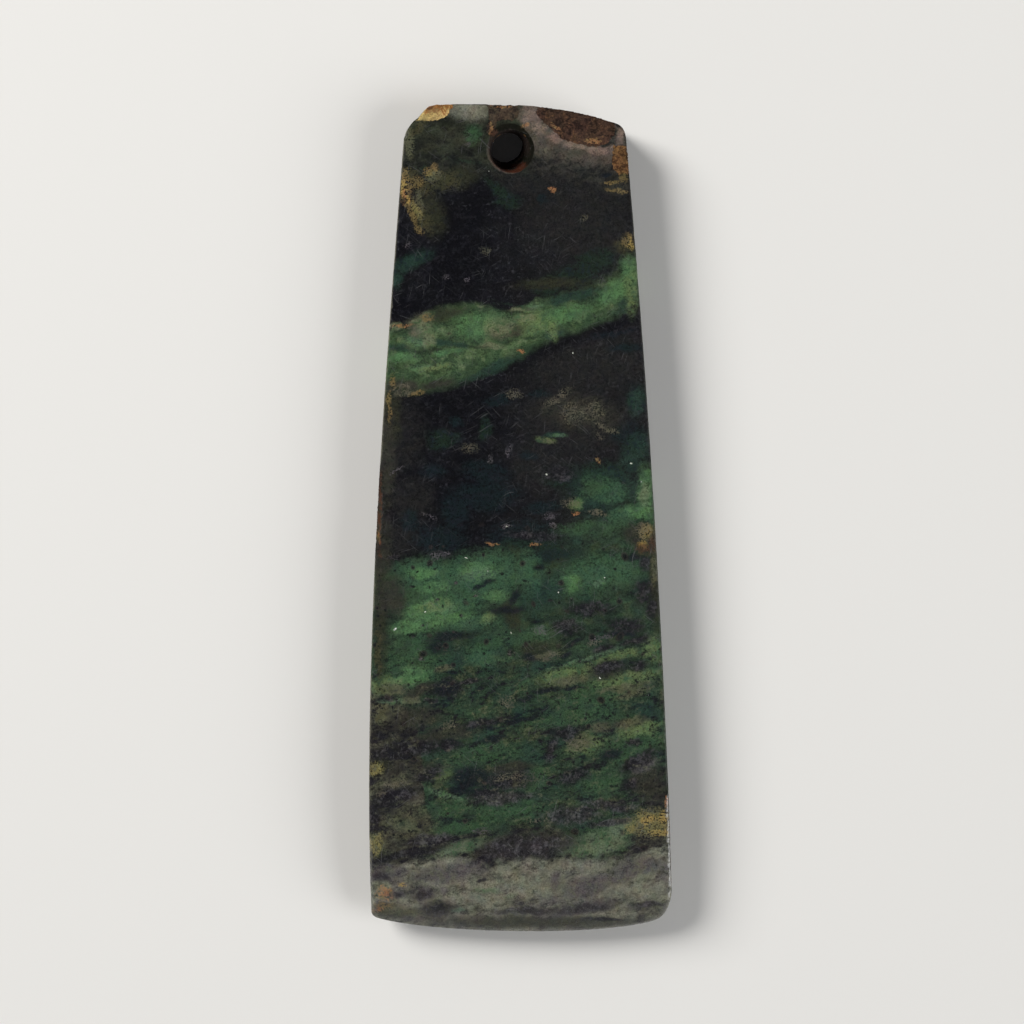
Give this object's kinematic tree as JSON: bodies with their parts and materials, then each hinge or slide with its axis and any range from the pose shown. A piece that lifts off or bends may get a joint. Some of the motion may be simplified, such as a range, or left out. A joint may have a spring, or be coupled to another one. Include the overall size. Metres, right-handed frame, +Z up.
{
  "type": "stone axe head",
  "caption": "Flat, tapering ground stone axe head with a blunt curved cutting edge and a lashing hole bored near the narrow butt.",
  "frame": {"origin": "on the plane that the blade's back face lies on, under the middle of its outline's box", "axes": "+X across the blade, +Y along it from the cutting edge to the butt, +Z up from the back face to the front face"},
  "size_m": [0.0806, 0.22, 0.012],
  "materials": {
    "jadeite": "ground and polished, mottled dark green with brown weathered patches"
  },
  "bodies": {
    "root": {"axe_head": "jadeite"}
  },
  "joints": []
}
